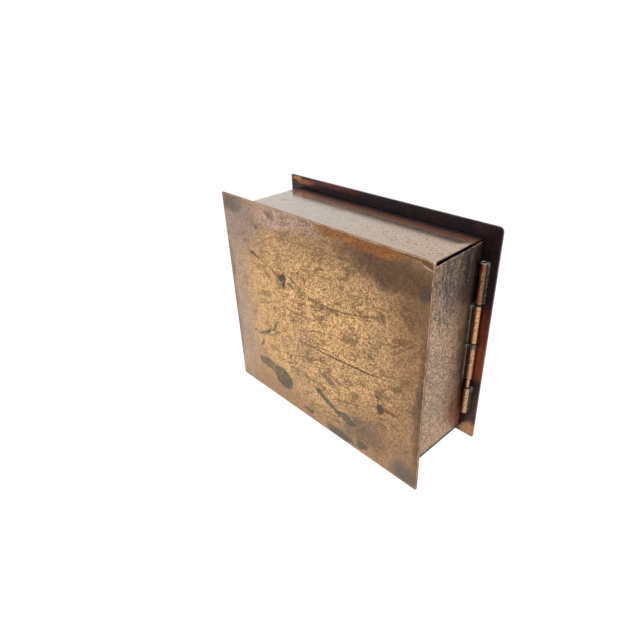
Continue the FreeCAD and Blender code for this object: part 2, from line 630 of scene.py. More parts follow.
        along = measure(2 * cos / mark.length, 2 * sin / mark.length)
        beside = measure(-2 * sin / mark.width, 2 * cos / mark.width)
        along = along * along
        if mark.bow:
            beside = along.times_plus(-2 * mark.bow / mark.width, beside)
        return beside.times_plus(beside, along).fade(1.9 - 0.75 * mark.core, mark.core**2, 0.0, mark.strength)

    def marks(self, at: Spot, group: tuple[Mark, ...]) -> Amount:
        """Several marks as one mask, each as strong as it is alone.

        Args:
            at: The coordinates in the sheet's face.
            group: The marks.

        Returns:
            The mask.
        """
        mask = self.mark(at, group[0])
        for mark in group[1:]:
            mask = mask.either(self.mark(at, mark))
        return mask

    def layers(self, at: Spot, colour: Value, zones: tuple[tuple[tuple[Mark, ...], Colour], ...]) -> Value:
        """Lays zones of other colours over a colour, one after another.

        Args:
            at: The coordinates in the sheet's face.
            colour: The colour under them all.
            zones: The marks of each zone, and its colour.

        Returns:
            The colour with its zones.
        """
        for group, tint in zones:
            colour = self.blend(self.marks(at, group), colour, tint)
        return colour

    def rim(self, half_width: float, half_height: float) -> Amount:
        """How far a place on an upright sheet is from the sheet's nearest edge."""
        return (half_width / MM - abs(self.x)).least(half_height / MM - abs(self.z))

    def bump(self, height: Amount, depth: float, strength: float) -> None:
        """Gives the surface fine relief.

        Args:
            height: The relief, from 0 to 1.
            depth: What 1 stands for, in millimetres.
            strength: The share of the relief that shows.
        """
        node = self.node("ShaderNodeBump", {}, {"Strength": strength, "Distance": depth * MM, "Height": height})
        self.plug(self.shader.inputs["Normal"], node.outputs[0])

    def finish(self, colour: Value, roughness: Value, metallic: Value) -> bpy.types.Material:
        """Plugs in the three main inputs.

        Args:
            colour: The base colour.
            roughness: The roughness.
            metallic: How much of the surface is bare metal.

        Returns:
            The material.
        """
        self.plug(self.shader.inputs["Base Color"], colour)
        self.plug(self.shader.inputs["Roughness"], roughness)
        self.plug(self.shader.inputs["Metallic"], metallic)
        return self.material


# ---------------------------------------------------------------------------------------------------------------------
# The finishes
# ---------------------------------------------------------------------------------------------------------------------


@dataclass(frozen=True)
class FrontCopper:
    """Tan copper on the front plate: fine grain, brown pits, scratches and grey-green stains, with painted light and
    shade.
    """

    centre: Vector
    half_width: float
    half_height: float
    gold: Colour = (0.735, 0.445, 0.198)
    tan: Colour = (0.56, 0.345, 0.178)
    umber: Colour = (0.325, 0.186, 0.098)
    mauve: Colour = (0.455, 0.315, 0.222)
    plum: Colour = (0.33, 0.238, 0.20)
    blush: Colour = (0.50, 0.33, 0.255)
    amber: Colour = (0.30, 0.125, 0.043)
    olive: Colour = (0.105, 0.060, 0.036)
    ash: Colour = (0.14, 0.112, 0.094)
    pit: Colour = (0.095, 0.046, 0.023)
    soot_and_shade: Colour = (0.042, 0.027, 0.021)
    verdigris: Colour = (0.046, 0.050, 0.042)
    rust: Colour = (0.22, 0.070, 0.045)
    bright: Colour = (0.64, 0.44, 0.31)
    side_face: Colour = (0.24, 0.115, 0.058)
    # painted highlight: a soft pool of light over the middle of the plate, its rim painted darker
    glow: Mark = Mark(-12, -4, 236, 190, tilt=-8, core=0.25)
    etched_zone: Mark = Mark(22, 8, 240, 222, core=0.3)
    mauve_zones: tuple[Mark, ...] = (Mark(-136, -10, 84, 260, core=0.2),)
    plum_zones: tuple[Mark, ...] = (
        Mark(-112, 92, 84, 70, tilt=-20, core=0.1, strength=0.85),
        Mark(-133, 20, 26, 190, core=0.1, strength=0.6),
    )
    # brown patina, and partly painted shade: the plate is browner towards its right side and its top and bottom edges,
    # away from the light
    umber_and_shade_zones: tuple[Mark, ...] = (
        Mark(130, 20, 230, 70, tilt=91, core=0.1, strength=0.62),
        Mark(40, 112, 230, 66, core=0.1, strength=0.65),
        Mark(96, -84, 120, 74, tilt=-8, core=0.1, strength=0.66),
        Mark(-10, -110, 240, 52, core=0.1, strength=0.5),
    )
    olive_zones: tuple[Mark, ...] = (
        Mark(98, 93, 118, 32, tilt=-11, core=0.3, strength=0.9),
        Mark(124, 70, 36, 60, tilt=10, core=0.1, strength=0.6),
        Mark(132, 0, 210, 16, tilt=90, core=0.1, strength=0.65),
        Mark(-10, 115, 262, 6, core=0.2, strength=0.6),
    )
    amber_zones: tuple[Mark, ...] = (
        Mark(60, 110.5, 116, 11, core=0.4),
        Mark(108, 42, 90, 30, tilt=96, core=0.0, strength=0.22),
    )
    # painted highlight: a pale pink reflection of the light from above, along the top of the plate
    highlight_zones: tuple[Mark, ...] = (Mark(-38, 104, 92, 24, core=0.3, strength=0.95),)
    ash_zones: tuple[Mark, ...] = (
        Mark(118, -99, 34, 30, core=0.3, strength=0.9),
        Mark(-117, 106, 36, 17, core=0.3, strength=0.85),
        Mark(-130, 10, 8, 220, core=0.2, strength=0.5),
        Mark(126, 109, 14, 7, core=0.3, strength=0.9),
    )
    soot_marks: tuple[Mark, ...] = (
        Mark(-41.5, 45.5, 9.5, 8.5, core=0.7),
        Mark(-40, 38, 11, 3.4, tilt=80, core=0.6),
        Mark(-30.5, 40, 9, 4.6, tilt=-8, core=0.7, strength=0.8),
        Mark(85.5, -42.5, 11, 8.5, tilt=15, core=0.6),
        Mark(73.5, 7, 9, 6, core=0.5, strength=0.75),
        Mark(72.5, -2, 5, 3, tilt=40, core=0.4, strength=0.7),
        Mark(83.5, -33, 5, 3.4, core=0.4, strength=0.8),
        Mark(16.7, 52.7, 3.6, 3.2, core=0.7, strength=0.9),
        Mark(-10, 52, 2.8, 7, core=0.5, strength=0.8),
        Mark(-3, 60, 4, 2.4, tilt=30, core=0.4, strength=0.6),
        Mark(45, 73.5, 3.4, 2.4, tilt=40, core=0.5, strength=0.7),
        Mark(32.5, 34.3, 6, 4, core=0.5, strength=0.75),
        Mark(12, 32.5, 5, 3.4, core=0.5, strength=0.7),
        Mark(-77, 86.5, 5, 4.6, core=0.5, strength=0.75),
        Mark(-85, 57, 13, 2.6, tilt=-24, core=0.4, strength=0.8),
        Mark(-97, -35, 4, 4, core=0.5, strength=0.6),
        Mark(-55, 104, 13, 7, tilt=-20, core=0.2, strength=0.6),
        Mark(127, -8, 9, 24, core=0.0, strength=0.5),
        Mark(124, 85, 17, 9, tilt=80, core=0.0, strength=0.65),
        Mark(23, 5, 5, 4, core=0.3, strength=0.5),
        Mark(24, -45, 26, 4, tilt=-26, bow=-2, core=0.3, strength=0.55),
        Mark(-13, -59, 14, 8, tilt=-30, core=0.2, strength=0.45),
    )
    verdigris_marks: tuple[Mark, ...] = (
        Mark(-78, -33, 27, 4.6, tilt=26, bow=1.5, core=0.8),
        Mark(-60, -17, 24, 3.2, tilt=58, bow=0.8, core=0.7),
        Mark(-85, -49, 11, 4.4, tilt=48, core=0.6, strength=0.85),
        Mark(-78, -73, 32, 13, tilt=3, core=0.8, strength=0.85),
        Mark(-65, -77, 16, 11, core=0.6, strength=0.8),
        Mark(-52, -81, 31, 24, tilt=-18, core=0.9, strength=0.97),
        Mark(20, -48, 14, 7, tilt=-12, core=0.6, strength=0.9),
        Mark(12, -43, 18, 4, tilt=-34, core=0.5, strength=0.7),
        Mark(-3, -58, 10, 9, core=0.1, strength=0.55),
        Mark(14, -73, 34, 9, tilt=-20, core=0.8),
        Mark(41, -80.5, 34, 9.5, tilt=-9, core=0.8),
        Mark(55, -77, 8, 11, tilt=30, core=0.5, strength=0.8),
        Mark(-12, -102, 15, 7, core=0.5, strength=0.75),
        Mark(33, -106, 38, 11, tilt=3, core=0.7, strength=0.92),
        Mark(64, -101, 17, 10, tilt=25, core=0.7, strength=0.92),
        Mark(66, -83, 52, 34, tilt=20, core=0.1, strength=0.55),
        Mark(46, -92, 12, 20, core=0.2, strength=0.65),
    )
    corner_shade: tuple[Mark, ...] = (
        Mark(124.5, 109.0, 15, 4.6, tilt=-19, core=0.6, strength=0.85),
        Mark(112, 110.6, 30, 1.7, tilt=-1, core=0.6, strength=0.85),
        Mark(128.6, 106.6, 3.4, 5, core=0.4, strength=0.8),
    )
    # painted highlight on the ridge of the knocked corner
    corner_highlight: tuple[Mark, ...] = (
        Mark(124.8, 106.2, 9.5, 1.8, tilt=-17, core=0.3, strength=0.45),
        Mark(129.2, 111.3, 2.2, 1.8, core=0.6, strength=0.8),
    )
    rust_marks: tuple[Mark, ...] = (Mark(-51, 46.5, 17, 4, tilt=-10, core=0.2), Mark(98, -41, 20, 3.6, core=0.2))
    drift: Swells = Swells(46, 3.0)
    peel: Swells = Swells(2.1, 2.5, 0.62)
    mottle: Swells = Swells(7.5, 3.0, 0.6, 31)
    worms: Hairs = Hairs(20, 2.6, 2.0, 0.055, 29)
    hairs: tuple[Hairs, ...] = (
        Hairs(14, 80, 8, 0.045, 11),
        Hairs(4, 70, 10, 0.035, 57),
        Hairs(34, 50, 14, 0.025, 91),
    )
    hair_patches: Swells = Swells(20, 1.0, shift=13)
    pits: Pits = Pits(3.4, 0.36)
    pit_patches: Swells = Swells(9, 3.0, 0.75, 77)
    small_pits: Pits = Pits(2.3, 0.33, 5)
    green_breaks: Swells = Swells(3.0, 3.0, 0.7, 9)
    edge_wear: Swells = Swells(9, shift=3)
    lip_drop: float = 1.7
    lip_width: float = 1.3
    scratches: tuple[Mark, ...] = (
        Mark(38, -15.0, 116, 2.0, tilt=4.5, bow=1.8, core=0.7),
        Mark(-19, -18.5, 5, 1.8, tilt=-60, core=0.7),
        Mark(35, 37, 112, 1.6, tilt=8, bow=9, core=0.6, strength=0.9),
        Mark(-26, 46, 46, 1.7, tilt=-24, bow=1, core=0.5, strength=0.8),
        Mark(-70, 53, 60, 1.3, tilt=-20, core=0.5, strength=0.6),
        Mark(-17, 13, 56, 1.5, tilt=2, strength=0.7),
        Mark(6, 87, 98, 1.1, tilt=1.5, strength=0.6),
        Mark(48, -58.5, 60, 1.5, tilt=19, strength=0.8),
        Mark(-15, -35, 34, 1.5, tilt=19, strength=0.7),
        Mark(28, -41, 38, 1.6, tilt=-13, bow=3, strength=0.8),
        Mark(22, -37, 34, 1.2, tilt=-20, bow=3, strength=0.6),
        Mark(-28, -38, 44, 1.0, tilt=69, strength=0.6),
        Mark(39, -20, 17, 1.2, tilt=64, strength=0.8),
        Mark(-83, 57, 16, 2.0, tilt=-24, core=0.3, strength=0.8),
        Mark(-60, 80, 44, 1.1, tilt=26, bow=-3, strength=0.6),
        Mark(95, -41.5, 24, 1.8, tilt=-3, strength=0.9),
        Mark(92, -61, 10, 1.7, tilt=-38, strength=0.9),
        Mark(22, 33, 26, 2.4, tilt=4, core=0.2, strength=0.6),
        Mark(55, 22, 100, 1.1, tilt=9, strength=0.5),
        Mark(5, 3, 70, 1.2, tilt=16, bow=-2, strength=0.6),
        Mark(-20, 58, 56, 1.1, tilt=-22, bow=4, strength=0.5),
        Mark(60, 60, 80, 1.0, tilt=14, bow=3, strength=0.45),
        Mark(83, -32, 1.4, 56, tilt=2, strength=0.4),
        Mark(-70, -60, 110, 1.0, tilt=9, bow=3, strength=0.35),
    )

    def make(self) -> bpy.types.Material:
        """Mixes the finish.

        Returns:
            The material.
        """
        paint = Paint("front_copper", self.centre)
        sheet = paint.flat(paint.x, paint.z)
        ragged = paint.split(paint.shake(sheet, reach=2.6, grain=11.0))
        frayed = paint.split(paint.shake(sheet, reach=0.5, grain=4.0))
        wide = paint.split(paint.shake(sheet, reach=8.0, grain=46.0))

        middle_tone = paint.blend(paint.cloud(self.drift).fade(0.46, 0.76), self.gold, self.tan)
        # painted highlight: the middle is painted lighter and the rim darker, as a soft pool of light
        colour = paint.blend(paint.mark(wide, self.glow), paint.blend(0.45, self.umber, self.tan), middle_tone)
        zones = (
            (self.mauve_zones, self.mauve),
            (self.plum_zones, self.plum),
            # brown patina and partly painted shade
            (self.umber_and_shade_zones, self.umber),
            (self.olive_zones, self.olive),
            (self.amber_zones, self.amber),
            # painted highlight along the top
            (self.highlight_zones, self.blush),
            (self.ash_zones, self.ash),
        )
        colour = paint.layers(wide, colour, zones)

        etched = paint.mark(wide, self.etched_zone)
        peel = paint.cloud(self.peel)
        mottle = paint.cloud(self.mottle)
        deep = etched * 0.6 + 0.4
        worms = paint.hair(sheet, self.worms) * (deep * 0.75)
        tone = 1.0 + peel.fade(0.36, 0.62, -0.44, 0.20) * deep + mottle.fade(0.3, 0.7, -0.05, 0.05)
        colour = paint.shade(colour, tone)

        patchy = paint.cloud(self.pit_patches).fade(0.50, 0.66)
        pits = paint.spots(self.pits) * (patchy * deep * 0.75 + 0.2 * deep)
        small_pits = paint.spots(self.small_pits) * (etched * 0.75 + 0.1)
        spots = pits.either(small_pits)
        colour = paint.blend(spots.either(worms) * 0.9, colour, self.pit)

        hairs = paint.hair(sheet, *self.hairs)
        hairs = hairs * paint.cloud(self.hair_patches).fade(0.47, 0.6) * (etched * 0.45 + 0.2)
        cuts = paint.marks(frayed, self.scratches).either(hairs)
        colour = paint.blend(cuts * 0.9, colour, self.pit)
        deepest = self.scratches[0]
        lip = replace(deepest, up=deepest.up - self.lip_drop, width=self.lip_width, core=0.6)
        colour = paint.blend(paint.mark(frayed, lip) * 0.35, colour, self.bright)

        rusty = paint.marks(ragged, self.rust_marks)
        colour = paint.blend(rusty * 0.75, colour, self.rust)
        green = paint.marks(ragged, self.verdigris_marks)
        green = green * paint.cloud(self.green_breaks).fade(0.3, 0.6, 0.45, 1.0)
        colour = paint.blend(green * 0.9, colour, self.verdigris)
        soot_and_shade = paint.marks(ragged, self.soot_marks)
        colour = paint.blend(soot_and_shade * 0.9, colour, self.soot_and_shade)

        colour = paint.blend(paint.marks(frayed, self.corner_shade), colour, self.olive)
        # painted highlight on the knocked corner's ridge
        colour = paint.blend(paint.marks(frayed, self.corner_highlight), colour, self.bright)
        edge = paint.rim(self.half_width, self.half_height)
        worn = edge.fade(0.75, 0.35) * paint.cloud(self.edge_wear).fade(0.35, 0.6, 0.1, 0.8)
        colour = paint.blend(worn, colour, self.bright)
        colour = paint.blend(edge.fade(0.22, 0.1) * 0.9, colour, self.side_face)

        dull = green.either(soot_and_shade).either(spots * 0.6)
        roughness = 0.34 + peel * 0.10 + mottle * 0.06 + dull * 0.25
        paint.bump(peel * 0.5 + mottle * 0.25 - spots * 0.7 - hairs, 0.10, 0.6)
        return paint.finish(colour, roughness, 1.0 - dull * 0.6)


@dataclass(frozen=True)
class BandCopper:
    """Smooth pinkish copper on the box's walls, browner and more speckled on the hinge side; the paler top is a painted
    sheen, and the back and edges carry painted shade and a painted reflection of the wall plate.
    """

    centre: Vector
    half: Vector
    # painted sheen: the top's rose and blush are paler than the walls' tan and clay, for the light falling from above
    rose: Colour = (0.435, 0.365, 0.305)
    blush: Colour = (0.45, 0.328, 0.245)
    tan: Colour = (0.44, 0.283, 0.182)
    clay: Colour = (0.37, 0.250, 0.166)
    brown: Colour = (0.155, 0.100, 0.072)
    orange: Colour = (0.44, 0.252, 0.146)
    red: Colour = (0.235, 0.092, 0.043)
    # painted shade at the back of the right wall, darkest at its top
    umber: Colour = (0.080, 0.034, 0.016)
    top_rear_shade: Colour = (0.036, 0.015, 0.010)
    # painted reflection and shade: this red-brown lies on the back strip of the top as a painted reflection of the dark
    # wall plate; the near-black below is painted shade next to the plate, on the seam's edge and on the lower bend
    reflection_red: Colour = (0.196, 0.074, 0.040)
    soot_and_shade: Colour = (0.036, 0.029, 0.028)
    pale: Colour = (0.27, 0.22, 0.19)
    worn: Colour = (0.46, 0.30, 0.22)
    pit: Colour = (0.075, 0.044, 0.032)
    grey: Colour = (0.27, 0.215, 0.170)
    brown_zones: tuple[Mark, ...] = (Mark(24, 82, 80, 84, core=0.3),)
    orange_zones: tuple[Mark, ...] = (Mark(-6, -86, 110, 50, core=0.3, strength=0.9),)
    grey_zones: tuple[Mark, ...] = (Mark(-42, 10, 30, 170, core=0.2, strength=0.6),)
    red_zones: tuple[Mark, ...] = (Mark(40, -74, 30, 90, core=0.2),)
    # painted shade and reflection: the right wall is darkened at the back, next to the dark wall plate and the hinge,
    # and darkest at the top
    umber_and_shade_zones: tuple[Mark, ...] = (Mark(45, 20, 40, 190, core=0.6, strength=0.97),)
    top_rear_shade_zones: tuple[Mark, ...] = (Mark(46, 82, 48, 76, core=0.5, strength=0.97),)
    streak_zone: Mark = Mark(-4, 78, 76, 76, core=0.4)
    wall_drift: Swells = Swells(30)
    cover_drift: Swells = Swells(34, shift=8)
    rear_edge: Swells = Swells(18, shift=40)
    shaded_edge: Swells = Swells(12, shift=44)
    pale_streaks: Hairs = Hairs(87, 30, 6.0, 0.05, 71)
    dark_streaks: Hairs = Hairs(84, 22, 5.0, 0.06, 23)
    # wear, and partly a painted highlight on the right wall's top edge
    seam_wear_and_highlight: Swells = Swells(6, shift=58)
    peel: Swells = Swells(1.9, 2.5, 0.62)
    mottle: Swells = Swells(6.0, 3.0, 0.6, 21)
    pits: Pits = Pits(3.4, 0.36)
    pit_patches: Swells = Swells(14, shift=4)
    hairs: Hairs = Hairs(8, 60, 6, 0.03, 31)
    hair_patches: Swells = Swells(20, 1.0, shift=63)
    seam_slope: float = 0.0277
    seam_drop: float = 4.1

    def make(self) -> bpy.types.Material:
        """Mixes the finish.

        Returns:
            The material.
        """
        paint = Paint("band_copper", self.centre)
        half_width, half_depth, half_height = (size / MM for size in self.half)
        left_of_hinge = half_width - paint.x
        side = paint.flat(paint.y, paint.z + left_of_hinge)
        leaning = paint.flat(paint.y, left_of_hinge.times_plus(-0.35, paint.z))
        wide = paint.split(paint.shake(leaning, reach=4.0, grain=24.0))
        on_wall = paint.z.fade(half_height - 1.6, half_height - 2.6)

        wall = paint.blend(paint.cloud(self.wall_drift).fade(0.35, 0.65), self.tan, self.clay)
        zones = (
            (self.brown_zones, self.brown),
            (self.orange_zones, self.orange),
            (self.grey_zones, self.grey),
            (self.red_zones, self.red),
            # painted shade and reflection of the wall plate at the back of the right wall
            (self.umber_and_shade_zones, self.umber),
            (self.top_rear_shade_zones, self.top_rear_shade),
        )
        wall = paint.layers(wide, wall, zones)
        # painted sheen: the top is painted paler and pinker than the walls
        cover = paint.blend((paint.cloud(self.cover_drift) * 60 + paint.x).fade(0, 90), self.rose, self.blush)
        # painted reflection of the dark wall plate on the back strip of the top, with painted shade next to the plate
        plate_reflection = (paint.y + paint.cloud(self.rear_edge) * 6).fade(half_depth - 17, half_depth - 8)
        shaded = (paint.y + paint.cloud(self.shaded_edge) * 4).fade(half_depth - 7, half_depth - 1)
        cover = paint.blend(plate_reflection, cover, paint.blend(shaded, self.reflection_red, self.soot_and_shade))

        streaks = paint.mark(wide, self.streak_zone)
        wall = paint.blend(paint.hair(side, self.pale_streaks) * streaks * 0.6, wall, self.pale)
        wall = paint.blend(paint.hair(side, self.dark_streaks) * streaks * 0.7, wall, self.pit)
        # wear, and partly painted highlight: the right wall's top edge along the seam is painted lighter
        seam = paint.y.times_plus(self.seam_slope, half_height - self.seam_drop)
        worn = (seam - paint.z).fade(1.1, 0.5) * paint.cloud(self.seam_wear_and_highlight).fade(0.3, 0.55)
        wall = paint.blend(worn, wall, self.worn)
        # painted shade: the top sheet's cut edge over the open seam is painted near-black, as the shaded gap
        cut_edge_shade = left_of_hinge.fade(0.35, 0.2) * paint.z.fade(half_height - 0.25, half_height - 0.5)
        cut_edge_shade = cut_edge_shade * (paint.z - seam).fade(0.1, 0.4)
        # painted shade: the lower bend and the bottom of the box are painted near-black, as shade beneath it
        under = paint.z.fade(6.4 - half_height, 4.8 - half_height)
        # painted shade on the seam's cut edge and the lower bend, laid over the painted sheen of the top and over the
        # walls
        colour = paint.blend(cut_edge_shade.either(under * 0.97), paint.blend(on_wall, cover, wall), self.soot_and_shade)

        peel = paint.cloud(self.peel)
        mottle = paint.cloud(self.mottle)
        depth = on_wall * 0.78 + 0.22
        tone = 1.0 + (peel.fade(0.36, 0.62, -0.55, 0.26) + mottle.fade(0.3, 0.7, -0.20, 0.14)) * depth
        colour = paint.shade(colour, tone)

        towards_right = paint.x.fade(-0.4 * half_width, half_width)
        spots = paint.spots(self.pits) * paint.cloud(self.pit_patches).fade(0.40, 0.58)
        spots = spots * (towards_right * 0.65 + 0.2)
        colour = paint.blend(spots * 0.9, colour, self.pit)

        hairs = paint.hair(paint.flat(paint.x, paint.y), self.hairs)
        hairs = hairs * paint.cloud(self.hair_patches).fade(0.5, 0.62) * 0.3
        colour = paint.blend(hairs, colour, self.pit)

        dull = plate_reflection.either(under)
        roughness = 0.17 + on_wall * 0.15 + peel * 0.06 * depth + spots * 0.25 + dull * 0.15
        paint.bump(peel * 0.4 * depth + mottle * 0.15 * depth - spots * 0.6 - hairs, 0.08, 0.5)
        return paint.finish(colour, roughness, 1.0 - spots * 0.5 - dull * 0.5)


@dataclass(frozen=True)
class DarkCopper:
    """Near-black copper on the wall plate, with heat-coloured patches of red and orange."""

    centre: Vector
    half_width: float
    half_height: float
    night: Colour = (0.025, 0.020, 0.028)
    umber: Colour = (0.044, 0.023, 0.022)
    grey: Colour = (0.066, 0.034, 0.028)
    red: Colour = (0.195, 0.055, 0.034)
    orange: Colour = (0.32, 0.095, 0.042)
    amber: Colour = (0.335, 0.155, 0.068)
    edge: Colour = (0.14, 0.085, 0.070)
    drift: Swells = Swells(26, 3.0, 0.6)
    grain: Swells = Swells(1.8, 3.0, 0.6)
    hairs: Hairs = Hairs(12, 110, 7, 0.018, 17)
    hair_patches: Swells = Swells(20, 1.0, shift=3)
    edge_wear: Swells = Swells(8, shift=5)
    grey_zones: tuple[Mark, ...] = (Mark(120, -72, 24, 50, core=0.3),)
    red_zones: tuple[Mark, ...] = (Mark(122, 4, 24, 60, core=0.3), Mark(-60, 107, 70, 6, core=0.2, strength=0.5))
    orange_zones: tuple[Mark, ...] = (
        Mark(124, -24, 20, 36, core=0.3, strength=0.9),
        Mark(-106, 104, 30, 7, core=0.2, strength=0.8),
    )
    amber_zones: tuple[Mark, ...] = (Mark(125, -103, 22, 22, core=0.4), Mark(-120, 107, 14, 5, core=0.2))

    def make(self) -> bpy.types.Material:
        """Mixes the finish.

        Returns:
            The material.
        """
        paint = Paint("dark_copper", self.centre)
        sheet = paint.flat(paint.x, paint.z)
        wide = paint.split(paint.shake(sheet, reach=3.0, grain=18.0))
        colour = paint.blend(paint.cloud(self.drift).fade(0.40, 0.66), self.night, self.umber)
        zones = (
            (self.grey_zones, self.grey),
            (self.red_zones, self.red),
            (self.orange_zones, self.orange),
            (self.amber_zones, self.amber),
        )
        colour = paint.layers(wide, colour, zones)
        grain = paint.cloud(self.grain)
        colour = paint.shade(colour, grain.fade(0.25, 0.75, 0.72, 1.25))
        hairs = paint.hair(sheet, self.hairs) * paint.cloud(self.hair_patches).fade(0.5, 0.62) * 0.16
        colour = paint.blend(hairs, colour, self.edge)
        worn = paint.rim(self.half_width, self.half_height).fade(0.6, 0.2)
        worn = worn * paint.cloud(self.edge_wear).fade(0.35, 0.6, 0.1, 0.9)
        colour = paint.blend(worn * 0.8, colour, self.edge)
        paint.bump(grain * 0.4 - hairs, 0.08, 0.5)
        return paint.finish(colour, 0.30 + grain * 0.12, 0.85)


@dataclass(frozen=True)
class TubeCopper:
    """Rubbed copper on one of the hinge's tubes or its pin: speckled, black where its ends meet the next tube, and
    darkened on its back and its shadow side as painted shade.
    """

    name: str
    centre: Vector
    half: Vector
    gold: Colour = (0.60, 0.33, 0.155)
    red: Colour = (0.26, 0.105, 0.055)
    redness: float = 0.2
    head: Colour = (0.02, 0.014, 0.012)
    head_depth: float = 0.95
    foot: Colour = (0.02, 0.014, 0.012)
    foot_depth: float = 0.95
    speckle: float = 0.8
    # the colour of dark pits, and of the painted shade on the tube's back and shadow side
    dirt_and_shade: Colour = (0.045, 0.028, 0.022)
    shadow_side: float = 0.0
    patch: Swells = Swells(7, 3.0, 0.6)
    grain: Swells = Swells(1.5, 3.0, 0.65, 6)
    pits: Pits = Pits(1.9, 0.42)
    pit_patches: Swells = Swells(5, 1.0, shift=19)
    wander: Swells = Swells(4, shift=33)

    def make(self) -> bpy.types.Material:
        """Mixes the finish.

        Returns:
            The material.
        """
        paint = Paint(self.name, self.centre)
        reddened = paint.cloud(self.patch).fade(0.72 - self.redness * 0.5, 0.88 - self.redness * 0.5)
        colour = paint.blend(reddened, self.gold, self.red)
        grain = paint.cloud(self.grain)
        colour = paint.shade(colour, grain.fade(0.3, 0.7, 0.62, 1.18))
        spots = paint.spots(self.pits) * paint.cloud(self.pit_patches).fade(0.36, 0.56)
        colour = paint.blend(spots * self.speckle, colour, self.dirt_and_shade)
        # painted shade: the tube's back, towards the wall plate, and its shadow side take the dark colour
        behind = paint.y.fade(0.4, 2.2) * 0.9
        beside = paint.x.fade(-0.3, -2.0) * self.shadow_side
        colour = paint.blend(behind.either(beside), colour, self.dirt_and_shade)
        wander = paint.cloud(self.wander) * 0.9
        above = (self.half.z / MM - paint.z + wander).fade(self.head_depth + 0.75, self.head_depth + 0.25)
        below = (self.half.z / MM + paint.z + wander).fade(self.foot_depth + 0.75, self.foot_depth + 0.25)
        colour = paint.blend(above, colour, self.head)
        colour = paint.blend(below, colour, self.foot)
        paint.bump(grain * 0.4 - spots * 0.6, 0.07, 0.5)
        worn = 1.0 - spots * 0.5 - above.either(below) * 0.4
        return paint.finish(colour, 0.27 + grain * 0.12 + spots * 0.25, worn)


@dataclass(frozen=True)
class LeafCopper:
    """Dull brown copper on the hinge's strips, near-black as painted shade from the tube, with a front edge painted
    lighter: painted light where it faces the room, and worn in patches.
    """

    centre: Vector
    half: Vector
    # painted shade: the near-black brown stands for the tube's shade over the strip
    brown: Colour = (0.030, 0.019, 0.016)
    lit_and_rubbed: Colour = (0.25, 0.165, 0.128)
    soot_and_shade: Colour = (0.02, 0.014, 0.012)
    verdigris: Colour = (0.20, 0.235, 0.20)
    patch: Swells = Swells(5, 3.0, 0.6)
    grain: Swells = Swells(1.5, 3.0, 0.6, 6)

    def make(self) -> bpy.types.Material:
        """Mixes the finish.

        Returns:
            The material.
        """
        paint = Paint("leaf_copper", self.centre)
        # painted light: the front edge is painted lighter where it faces the room, in patches that are also worn
        front = paint.y.fade(-self.half.y / MM + 0.9, -self.half.y / MM + 0.3)
        patch = paint.cloud(self.patch)
        colour = paint.blend(front * patch.fade(0.25, 0.5, 0.6, 1.0), self.brown, self.lit_and_rubbed)
        grain = paint.cloud(self.grain)
        colour = paint.shade(colour, grain.fade(0.3, 0.7, 0.6, 1.2))
        top = (self.half.z / MM - paint.z + patch * 1.6).fade(3.4, 1.6)
        colour = paint.blend(top * 0.75, colour, self.verdigris)
        # darker towards its foot
        foot = (self.half.z / MM + paint.z + patch).fade(2.0, 1.1)
        colour = paint.blend(foot * 0.95, colour, self.soot_and_shade)
        paint.bump(grain * 0.5, 0.08, 0.5)
        return paint.finish(colour, 0.36 + grain * 0.15, 0.9 - top * 0.4)


@dataclass(frozen=True)
class SolderGrey:
    """Dull dark solder, with verdigris round its upper end."""

    name: str
    centre: Vector
    half: Vector
    grey: Colour = (0.026, 0.024, 0.025)
    pale: Colour = (0.085, 0.076, 0.070)
    verdigris: Colour = (0.115, 0.140, 0.120)
    collar: float = 0.9
    greenness: float = 0.15
    patch: Swells = Swells(4.0, 3.0, 0.6)
    spread: Swells = Swells(3.0, 3.0, 0.65, 12)
    grain: Swells = Swells(0.9, 3.0, 0.6, 2)

    def make(self) -> bpy.types.Material:
        """Mixes the finish.

        Returns:
            The material.
        """
        paint = Paint(self.name, self.centre)
        patch = paint.cloud(self.patch)
        colour = paint.blend(patch.fade(0.40, 0.66), self.grey, self.pale)
        spread = paint.cloud(self.spread)
        green = spread.fade(0.62 - 0.3 * self.greenness, 0.75 - 0.2 * self.greenness) * 0.7
        top = (self.half.z / MM - paint.z + spread * 4).fade(8.5, 3.0) * self.collar
        green = green.either(top)
        colour = paint.blend(green * 0.85, colour, self.verdigris)
        grain = paint.cloud(self.grain)
        colour = paint.shade(colour, grain.fade(0.25, 0.75, 0.65, 1.3))
        paint.bump(grain * 0.6 + patch * 0.4, 0.12, 0.6)
        return paint.finish(colour, 0.45 + green * 0.2 + grain * 0.1, 0.9 - green * 0.6)


# ---------------------------------------------------------------------------------------------------------------------
# The pieces
# ---------------------------------------------------------------------------------------------------------------------


def middle(*nodes: str) -> tuple[Vector, Vector]:
    """The room that nodes take up.

    Args:
        *nodes: The nodes' names.

    Returns:
        The centre of the room and half its size.
    """
    boxes = [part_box(node) for node in nodes]
    low = Vector([min(box[0][i] for box in boxes) for i in range(3)])
    high = Vector([max(box[1][i] for box in boxes) for i in range(3)])
    return (low + high) / 2, (high - low) / 2


